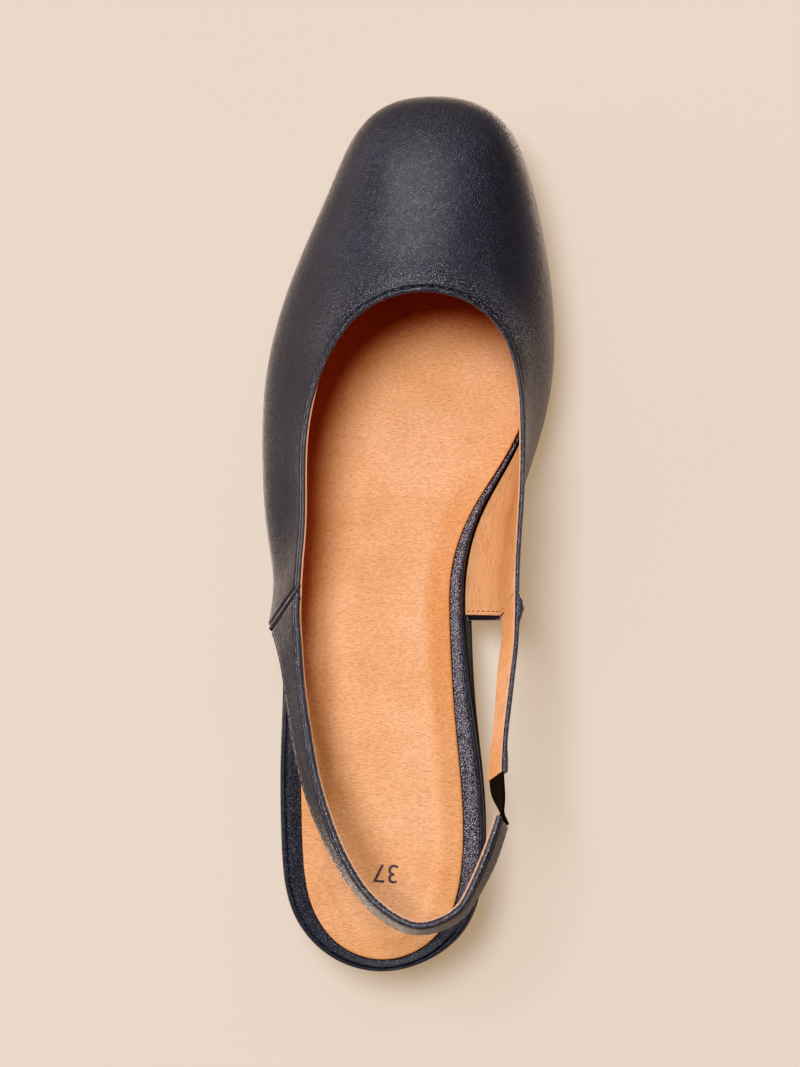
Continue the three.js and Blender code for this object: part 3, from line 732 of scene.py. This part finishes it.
# Surface between two smooth edge curves, straight from the lower one to the top one. A lead
# and a tail carry it on past its first and last rows, and a drop lowers its top edge.
def ribbonGrid(table, lengthSteps, heightSteps, run=0.9, lead=0.0, tail=0.0, drop=0.0):
    rows = np.array(table) * ([wide, long, tall] * 2)
    places = np.append(0, np.cumsum(np.linalg.norm(np.diff(rows, axis=0), axis=1)))
    row = curveThrough(places, rows)(crowdedSteps(places[-1] + lead + tail, lengthSteps, run) - lead)[:, None]
    height = np.linalg.norm(row[..., 3:] - row[..., :3], axis=-1, keepdims=True)
    share = crowdedSteps(1.0, heightSteps, 0.08)[None, :, None] * (1 - drop / height)
    return row[..., :3] * (1 - share) + row[..., 3:] * share


# A strap's leather: a flat ridge between two grooves where it is sewn to the wing, and a
# rolled band parted by a groove along its top edge.
def strapFace(table, look):
    face = ribbonGrid(table, look["lengthSteps"], look["heightSteps"], lead=look["seamLead"])
    fromSeam = endDistance(face, 0)[0]
    fromLow, fromTop = endDistance(face, 1)
    ridgeWide, band = look["ridgeWide"], look["band"]
    ridge = smoothStep(fromSeam, *look["ridgeFrom"]) * (1 - smoothStep(fromSeam, ridgeWide - 0.5, ridgeWide))
    relief = look["ridge"] * ridge - look["ridge"] * bell(fromSeam - ridgeWide - 0.25, look["seamGroove"])
    relief = relief + look["bandRoll"] * smoothStep(fromTop, band, band - 0.6)
    relief = relief - look["bandGroove"] * bell(fromTop - band - 0.15, look["grooveWide"])
    relief = relief - look["stitchDent"] * bell(fromLow - look["stitchIn"], look["dentWidth"])
    return moved(face, relief)


rearFace = strapFace(rearStrapTable, strapLook)
addPiece("strap_rear_leather", softSheet(rearFace, strapLook["leather"]), "navyStrapLeather", ["strap_rear"])
rearInside = ribbonGrid(rearStrapTable, strapLook["lengthSteps"], 18,
                        lead=strapLook["liningLead"], drop=strapLook["liningDrop"])
rearInside = moved(rearInside, 0.05 - strapLook["leather"])
addPiece("strap_rear_lining", softSheet(rearInside[:-1, 1:], strapLook["lining"]), "tanLiningLeather")

# The inner strap's table is its lined face, so its leather lies behind that, outwards. It is
# thicker in the knot at the seam and where it is folded at the elastic.
innerFace = ribbonGrid(innerStrapTable, 120, 24, lead=1.0, drop=0.2)
innerBehind = ribbonGrid(innerStrapTable, 200, 24, lead=strapLook["seamLead"])
innerBehind = moved(innerBehind, 0.05 - strapLook["lining"])
fromSeam, fromEnd = endDistance(innerBehind, 0)
knot = strapLook["knot"] * bell(fromSeam - strapLook["knotIn"], strapLook["knotWide"])
innerThick = strapLook["innerLeather"] + knot - 0.5 * bell(fromSeam - 0.6, 0.5)
innerThick = innerThick + strapLook["endFold"] * smoothStep(fromEnd, *strapLook["foldFrom"])
addPiece("strap_inner_lining", softSheet(innerFace[:-1, 1:], strapLook["lining"]), "tanLiningLeather")
addPiece("strap_inner_leather", softSheet(innerBehind, innerThick), "navyStrapLeather", ["strap_inner"])
elasticFace = ribbonGrid(elasticTable, 60, 14, 0.5, lead=1.6, tail=1.6)
addPiece("elastic_band", softSheet(elasticFace, 1.0), "wovenElastic", ["strap_elastic"])
print("straps done")

soleSideSteps = 170
vampRow = 6  # a row of edgeTable where the upper hides the rim
fineEdge = solePlaces(soleSideSteps)
fineRows = edgeAt(fineEdge)
insoleBase = shoe["outsole"] + shoe["gap"]
insoleTop = insoleBase + shoe["insole"]
sockBase = insoleTop + shoe["gap"]
frontRim = edgeRows[vampRow][2]
innerSide = np.arange(len(fineEdge)) < len(fineEdge) // 2
openness = smoothStep(fineRows[:, 2], frontRim, 3 * frontRim)  # 0 under the vamp, 1 behind the ball

rimLook = {  # share of the rim, height over the board in millimetres where the rim is bare
    "side": [(0.0, -2.4), (-0.02, -1.2), (-0.02, 0.0), (0.0, 0.35)],
    "top": [(0.02, 0.62), (0.05, 0.82), (0.09, 0.98), (0.13, 1.06), (0.17, 1.06), (0.21, 0.96), (0.245, 0.78),
            (0.275, 0.70), (0.31, 0.80), (0.36, 0.93), (0.42, 0.98), (0.50, 0.95), (0.60, 0.88), (0.70, 0.79),
            (0.80, 0.70), (0.90, 0.60), (0.97, 0.50), (1.02, 0.36), (1.06, 0.1)],
    "margin": (0.27, 1.0), "openFrom": (6.0, 40.0),
}


# The insole's wrapped edge: a bead outside, a groove, then a flat margin up to the sock. Under
# the upper it is lower and plain. On the inner side's margin the grain stands open, and pale speckles are
# painted on it as a painted sheen.
def insoleBody(look):
    rim = fineRows[:, 2]
    loops = [soleLoop(fineEdge, 0.6 * frontRim, insoleBase), soleLoop(fineEdge, 0.1, insoleBase + 0.15)]
    for share, height in look["side"] + look["top"]:
        under = np.minimum(height, -0.5 * share)
        lifted = under * (1 - openness) + height * openness
        loops.append(soleLoop(fineEdge, share * rim, insoleTop + lifted))
    loops.append(soleLoop(fineEdge, rim * 1.06 + 0.6, insoleTop + 0.1))
    body = stackedBody(loops, insoleBase, insoleTop + 0.1)
    low, high = look["margin"]
    flat = [0.0, 0.0] + [float(low < share < high) for share, height in look["side"] + look["top"]] + [0.0]
    tone = np.zeros(len(body["points"]))
    # inner-side margin: open grain, and the place of the painted sheen speckles
    grainAndPaintedSheen = innerSide * smoothStep(fineRows[:, 1], *look["openFrom"])
    tone[:len(loops) * len(fineEdge)] = np.outer(flat, grainAndPaintedSheen).ravel()
    return body | {"tone": tone}


addPiece("insole_cover", insoleBody(rimLook), "navyRimLeather", ["insole"])

sockLook = {  # millimetres
    "roundOff": [(0.0, 0.0), (-0.05, 0.5), (0.0, 0.85), (0.15, 1.05), (0.4, 1.17)],
    "rings": [0.8, 1.4, 2.2, 3.0, 3.8, 4.6, 5.4, 6.2, 7.0, 7.8, 8.6, 9.4, 10.4],
    "dip": 0.75, "dipFrom": 5.4, "dipTo": 8.8, "dipEnds": (112.0, 140.0),
    "deepTo": (4.5, 8.5), "deepWaist": (95.0, 42.0), "deepHeel": (30.0, 30.0), "heelShare": 0.35,
}


# How far the sock sinks under the foot, away from its raised margin, behind the ball.
def sockDip(along, inset):
    behindBall = 1 - smoothStep(along, *sockLook["dipEnds"])
    return sockLook["dip"] * behindBall * smoothStep(inset, sockLook["dipFrom"], sockLook["dipTo"])


def sockHeight(points, inset=99.0):
    along = points[..., 1]
    return underside(along) + sockBase + shoe["sock"] - sockDip(along, inset)


# The sock, with a deeper tan on its margin along the inner waist and a little round the heel.
def sockBody(look):
    start = fineRows[:, 2] + 0.1
    loops = [soleLoop(fineEdge, start + inset, sockBase + level) for inset, level in look["roundOff"]]
    for inset in look["rings"]:
        ring = soleLoop(fineEdge, start + inset, 0)
        ring[:, 2] = sockHeight(ring, inset)
        loops.append(ring)
    (waist, waistWide), (heel, heelWide) = look["deepWaist"], look["deepHeel"]
    along = fineRows[:, 1]
    deep = bell(along - waist, waistWide) * innerSide + look["heelShare"] * bell(along - heel, heelWide)
    margin = [1.0] * len(look["roundOff"]) + [1 - smoothStep(ring, *look["deepTo"]) for ring in look["rings"]]
    body = stackedBody(loops, sockBase, sockHeight, across=40)
    tone = np.zeros(len(body["points"]))
    tone[:len(loops) * len(fineEdge)] = np.outer(margin, deep).ravel()
    return body | {"tone": tone}


addPiece("sock_lining", sockBody(sockLook), "tanSockLeather", ["sock"])

outsoleLook = {  # inset, height in millimetres
    "steps": [(1.3, 0.0), (0.7, 0.08), (0.3, 0.3), (0.08, 0.65), (0.0, 1.1), (0.0, 1.9), (0.05, 2.6),
              (0.25, 3.0), (0.6, 3.2)],
}


def outsoleBody(look):
    loops = [soleLoop(fineEdge, inset - fineRows[:, 3], height) for inset, height in look["steps"]]
    return stackedBody(loops, 0.0, shoe["outsole"])


addPiece("outsole_leather", outsoleBody(outsoleLook), "dyedSoleLeather", ["outsole"])

heelLook = {  # inset, height over the floor in millimetres
    "block": [(2.0, 4.3), (1.62, 4.35), (1.5, 4.7), (1.25, 7.0), (1.0, 9.5), (0.8, 12.0), (0.7, 13.6),
              (0.8, 13.85), (1.3, 13.9)],
    "topPiece": [(2.6, 0.0), (2.0, 0.08), (1.8, 0.5), (1.65, 3.6), (1.7, 3.9), (2.2, 4.0)],
    "breastHollow": 5.0, "breastSteps": 60, "breastLead": 1.5,
}


# Level outline of the heel: the sole's edge behind the seat length, then the breast, which
# bows backwards as half a sine wave.
def heelLoop(inset, height, look):
    flat = fineRows[:, :2] - outwardAt(fineEdge)[:, :2] * inset
    limit = shoe["seatLength"] - inset
    past = fineRows[:, 1] > shoe["seatLength"] - look["breastLead"]
    first, last = np.argmax(past), len(past) - np.argmax(past[::-1])
    inner, outer = flat[:first], flat[last:]
    corners = []
    for near, far in ((flat[first - 1], flat[first]), (flat[last], flat[last - 1])):
        corners.append(near + (far - near) * (limit - near[1]) / (far[1] - near[1]))
    share = np.linspace(0, 1, look["breastSteps"] + 1)[:, None]
    breast = corners[0] * (1 - share) + corners[1] * share
    breast[:, 1] -= look["breastHollow"] * np.sin(np.pi * share[:, 0])
    return raised(np.concatenate([inner, breast, outer]), height)


# Body between level loops, closed by one flat face at each end.
def heelBody(steps, look):
    loops = np.array([heelLoop(inset, height, look) for inset, height in steps])
    rings, size = loops.shape[:2]
    index = np.arange(rings * size).reshape(rings, size)
    ends = [index[0, ::-1].tolist(), index[-1].tolist()]
    return {"points": loops.reshape(-1, 3), "faces": ringFaces(index), "ends": ends}


addPiece("heel_block", heelBody(heelLook["block"], heelLook), "heelLeather", ["heel"])
heelTopPiece = heelBody(heelLook["topPiece"], heelLook)
addPiece("heel_top_piece_rubber", heelTopPiece, "topPieceRubber", ["heel_top_piece"])
print("sole and heel done")


# Short thread capsules laid one after another along a path, sunk a little into the leather.
# Each is a tube of few sides whose radius follows a half circle towards its two ends.
def stitchRow(path, normals, pitch, length, radius, sink=0.35, slant=0.0):
    walked = np.append(0, np.cumsum(np.linalg.norm(np.diff(path, axis=0), axis=1)))
    middles = np.arange(pitch * 0.7, walked[-1] - pitch * 0.5, pitch)
    along = np.array([-1, -0.85, -0.5, 0, 0.5, 0.85, 1.0])
    width = np.array([0.25, 0.75, 1.0, 1.0, 1.0, 0.75, 0.25])
    sides, stations, count = 6, len(along), len(middles)
    turn = np.arange(sides) * 2 * np.pi / sides
    place = middles[:, None] + along * length / 2
    centre, normal = (np.stack([np.interp(place, walked, values[:, k]) for k in range(3)], -1)
                      for values in (path, normals))
    normal = unit(normal)
    way = unit(np.gradient(centre, axis=1))
    side = np.cross(way, normal)
    centre = centre - normal * (sink * radius + 0.5 * radius * np.abs(along)[None, :, None] ** 3)
    centre = centre + side * (slant * along)[None, :, None]
    ring = (side[..., None, :] * np.cos(turn)[:, None] + normal[..., None, :] * np.sin(turn)[:, None])
    points = centre[..., None, :] + ring * (radius * width)[None, :, None, None]
    index = np.arange(count * stations * sides).reshape(count, stations, sides)
    following = np.roll(index, -1, 2)
    tube = np.stack([index[:, :-1], index[:, 1:], following[:, 1:], following[:, :-1]], -1).reshape(-1, 4)
    ends = np.concatenate([index[:, 0], index[:, -1, ::-1]]).tolist()
    return {"points": points.reshape(-1, 3), "faces": tube, "ends": ends}


# Path across a face grid at one distance from an edge: the point on every line of the grid
# that lies that far from its last column, or from its first one.
def pathAt(face, distance, fromLast=True):
    walked = endDistance(face, 1)[1 if fromLast else 0]
    column = np.argmin(np.abs(walked - distance), 1)
    rows = np.arange(len(face))
    step = np.where((walked[rows, column] - distance) * (1 if fromLast else -1) > 0, 1, -1)
    other = np.clip(column + step, 0, face.shape[1] - 1)
    gap = walked[rows, other] - walked[rows, column]
    share = np.where(np.abs(gap) > 1e-6, (distance - walked[rows, column]) / np.where(gap == 0, 1, gap), 0)
    share = np.clip(share, 0, 1)[:, None]
    return [grid[rows, column] * (1 - share) + grid[rows, other] * share
            for grid in (face, gridNormals(face))]


stitchLook = {"pitch": 2.75, "length": 1.85, "radius": 0.34}  # millimetres
path, normals = pathAt(upperOuter, upperLook["stitchIn"])
addPiece("topline_stitches", stitchRow(path, normals, **stitchLook, slant=0.06), "navyThread")
strapStitch = {"pitch": 2.4, "length": 1.6, "radius": 0.13}
wingStitch = {"pitch": 2.3, "length": 1.5, "radius": 0.15}
innerOutside = moved(innerBehind, -innerThick)
for name, face, side in (("rear", rearFace, 1), ("inner", innerOutside, -1)):
    for edgeName, fromLast in (("top", True), ("lower", False)):
        if name == "rear" and fromLast:
            continue  # its top edge is folded over, and sewn from inside
        path, normals = pathAt(face, strapLook["stitchIn"], fromLast)
        stitches = stitchRow(path[4:-4], normals[4:-4] * side, **strapStitch)
        addPiece(f"strap_{name}_{edgeName}_stitches", stitches, "navyThread")

# Tan stitches across the lining, just inside the back edge of the inner wing.
wingInside = moved(liningFace, -upperLook["lining"])
path, normals = pathAt(wingInside.transpose(1, 0, 2), 1.2, False)
low = slice(3, int(len(path) * 0.66))  # up to the strap
addPiece("wing_lining_stitches", stitchRow(path[low], normals[low], **wingStitch), "tanThread")
print("stitches done")

numberLook = {"text": "37", "height": 5.4, "across": -1.0, "along": 28.2, "proud": 0.04}  # millimetres


# The size number, printed on the sock to be read from the toe, laid on the sock's surface.
def sizeNumber(look):
    curve = bpy.data.curves.new("sizeNumberText", "FONT")
    curve.body = look["text"]
    curve.align_x, curve.align_y = "CENTER", "CENTER"
    curve.size = 1.0
    letters = newObject("sizeNumberText", curve)
    bpy.context.view_layer.update()
    evaluated = letters.evaluated_get(bpy.context.evaluated_depsgraph_get())
    flat = bpy.data.meshes.new_from_object(evaluated)
    bpy.data.objects.remove(letters)
    points = np.empty(len(flat.vertices) * 3)
    flat.vertices.foreach_get("co", points)
    points = points.reshape(-1, 3)
    points = (points - (points.min(0) + points.max(0)) / 2) * look["height"] / np.ptp(points[:, 1])
    faces = [list(polygon.vertices) for polygon in flat.polygons]
    turned = np.stack([look["across"] - points[:, 0], look["along"] - points[:, 1], points[:, 2]], 1)
    turned[:, 2] = sockHeight(turned) + look["proud"]
    bpy.data.meshes.remove(flat)
    return {"points": turned, "faces": np.zeros((0, 4), int), "ends": faces}


addPiece("size_number", sizeNumber(numberLook), "printedInk")

cameraLook = {  # millimetres in the shoe's own plan; the photograph looks straight down
    "place": (49.4, 134.9, 1100.0), "lookAt": (-2.0, 126.0, 20.0), "lens": 126.9, "sensor": 36.0,
    "roll": 3.02,  # degrees
}
roomLook = {  # the floor's side in metres, the window's width in degrees
    "floor": 8.0, "backdrop": (0.83, 0.70, 0.59), "sky": (1.0, 0.96, 0.92), "skyStrength": 0.08,
    "window": (1.0, 0.88, 0.76), "windowStrength": 3.2,
    "windowWay": (-0.92, 0.28, 0.02), "windowWidth": 34.0,
}
lightLook = [  # name, way to the light, strength, apparent width in degrees, colour
    ("softKey", (-0.23, 0.32, 1.0), 3.35, 28.0, (1.0, 0.985, 0.98)),
    ("panelToe", (-0.05, 0.80, 0.45), 0.50, 64.0, (0.96, 0.97, 1.0)),
]
contrastCurve = [(0.012, 0.002), (0.03, 0.012), (0.06, 0.035), (0.12, 0.10), (0.3, 0.3)]


def addCamera(look):
    place = Vector(toFrame(look["place"]))
    aim = Vector(toFrame(look["lookAt"]))
    data = bpy.data.cameras.new("photoCamera")
    data.sensor_width = look["sensor"]
    data.lens = look["lens"]
    camera = newObject("photoCamera", data)
    roll = math.radians(look["roll"])
    up = Vector((-math.sin(roll), math.cos(roll), 0.0))
    back = (place - aim).normalized()
    right = up.cross(back).normalized()
    turn = Matrix((right, back.cross(right), back)).transposed()
    camera.matrix_world = Matrix.Translation(place) @ turn.to_4x4()
    scene.camera = camera


def addRoom(look):
    mesh = bpy.data.meshes.new("floor")
    reach = look["floor"] / 2
    corners = [(-reach, -reach, 0), (reach, -reach, 0), (reach, reach, 0), (-reach, reach, 0)]
    mesh.from_pydata(corners, [], [(0, 1, 2, 3)])
    mesh.materials.append(materials["paleFloor"])
    floor = newObject("floor", mesh)
    world = bpy.data.worlds.new("studioSky")
    world.use_nodes = True
    tree = world.node_tree
    way = addNode(tree, "TexCoord").outputs["Generated"]
    toWindow = tuple(Vector(look["windowWay"]).normalized())
    nearness = addNode(tree, "VectorMath", {"operation": "DOT_PRODUCT"}, {0: way, 1: toWindow})
    border = math.cos(math.radians(look["windowWidth"]))
    pane = addNode(tree, "MapRange", {"interpolation_type": "SMOOTHSTEP"}, {
        "Value": nearness.outputs["Value"], "From Min": border, "From Max": 1.0})
    dim = tuple(channel * look["skyStrength"] for channel in look["sky"])
    lit = tuple(channel * look["windowStrength"] for channel in look["window"])
    light = mixColour(tree, pane.outputs["Result"], (*dim, 1), (*lit, 1))
    # past the floor, the camera sees its colour go on
    seen = addNode(tree, "LightPath").outputs["Is Camera Ray"]
    seenColour = mixColour(tree, seen, light, (*look["backdrop"], 1))
    setInputs(tree, tree.nodes["Background"], {"Color": seenColour})
    scene.world = world


def addLights(looks):
    for name, way, strength, width, colour in looks:
        data = bpy.data.lights.new(name, "SUN")
        data.energy, data.angle, data.color = strength, math.radians(width), colour
        light = newObject(name, data)
        light.matrix_world = Vector(way).to_track_quat("Z", "Y").to_matrix().to_4x4()


addCamera(cameraLook)
addRoom(roomLook)
addLights(lightLook)
viewSettings = scene.view_settings
viewSettings.view_transform = "Standard"
viewSettings.use_curve_mapping = True
toneCurve = viewSettings.curve_mapping.curves[3]
for x, y in contrastCurve:
    toneCurve.points.new(x, y)
viewSettings.curve_mapping.update()
print("camera, room and lights done")
